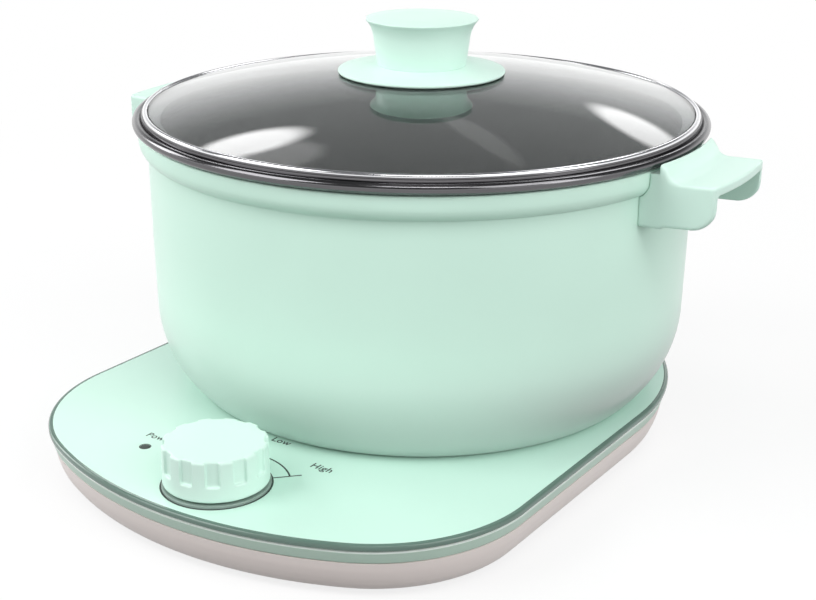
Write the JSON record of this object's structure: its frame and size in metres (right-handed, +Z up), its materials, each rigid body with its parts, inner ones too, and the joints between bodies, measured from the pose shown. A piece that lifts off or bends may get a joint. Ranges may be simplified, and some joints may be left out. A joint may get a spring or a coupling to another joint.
{
  "type": "electric hot pot with lid",
  "caption": "Electric hot pot: flat glass-topped cooking base with a turning dial, round two-handled pot and lift-off glass lid with a flared knob.",
  "frame": {"origin": "on the table, under the middle of the whole outline", "axes": "+Z up, -Y towards the dial, +X to the right seen from the dial side; the pot's two handles lie along X, turned 1.8 degrees with the pot as the picture shows it"},
  "size_m": [0.3348, 0.3362, 0.2081],
  "materials": {
    "lower_shell": "fine satin, warm grey",
    "upper_shell": "satin mint",
    "plate_glass": "polished glass, mint behind",
    "foot_rubber": "matt",
    "seal_rubber": "matt",
    "screw_steel": "zinc plated",
    "coil_plastic": "moulded",
    "coil_wire": "lacquered copper wire",
    "ferrite": "matt",
    "circuit_board": "solder mask",
    "sink_aluminium": "extruded",
    "capacitor_plastic": "dipped",
    "fan_plastic": "moulded",
    "ring_plastic": "satin",
    "grip_plastic": "satin, pale mint",
    "lens_plastic": "smoked",
    "pot_enamel": "satin enamel",
    "disc_steel": "turned",
    "lid_glass": "tempered, clear",
    "rim_steel": "polished, dark",
    "insert_brass": "turned"
  },
  "bodies": {
    "base": {"bottom_cover": "lower_shell", "rubber_feet": "foot_rubber", "cover_screws": "screw_steel", "upper_casing": "upper_shell", "plate_seal": "seal_rubber", "glass_plate": "plate_glass", "coil_former": "coil_plastic", "induction_coil": "coil_wire", "ferrite_bars": "ferrite", "coil_screws": "screw_steel", "sensor_holder": "coil_plastic", "sensor_pad": "seal_rubber", "main_board": "circuit_board", "board_screws": "screw_steel", "heat_sink": "sink_aluminium", "filter_capacitors": "capacitor_plastic", "fan_frame": "fan_plastic", "fan_screws": "screw_steel", "control_board": "circuit_board", "control_screws": "screw_steel", "dial_potentiometer": "sink_aluminium", "dial_ring": "ring_plastic", "indicator_led": "lens_plastic", "indicator_lens": "lens_plastic", "terminal_block": "coil_plastic", "cord_gland": "foot_rubber"},
    "fan": {"fan_rotor": "fan_plastic"},
    "dial": {"dial_shaft": "screw_steel", "dial_knob": "grip_plastic"},
    "pot": {"pot_body": "pot_enamel", "pot_base_disc": "disc_steel", "left_handle": "grip_plastic", "right_handle": "grip_plastic", "handle_screws": "screw_steel"},
    "lid": {"glass_lid": "lid_glass", "rim_ring": "rim_steel", "knob_gasket": "foot_rubber", "knob_flange": "grip_plastic", "knob_grip": "grip_plastic", "knob_insert": "insert_brass", "knob_washer": "screw_steel", "knob_screw": "screw_steel"}
  },
  "joints": [
    {"name": "fan_spin", "type": "hinge", "parent": "base", "child": "fan", "pos_m": [0.056, -0.08815, 0.012], "axis": [0, 0, 1], "continuous": true},
    {"name": "dial_turn", "type": "hinge", "parent": "base", "child": "dial", "pos_m": [0.0047, -0.13745, 0.028], "axis": [0, 0, -1], "range_deg": [0, 130]},
    {"name": "pot_lift", "type": "slide", "parent": "base", "child": "pot", "axis": [0, 0, 1], "range_m": [0, 0.12]},
    {"name": "lid_lift", "type": "slide", "parent": "pot", "child": "lid", "axis": [0, 0, 1], "range_m": [0, 0.12]}
  ]
}
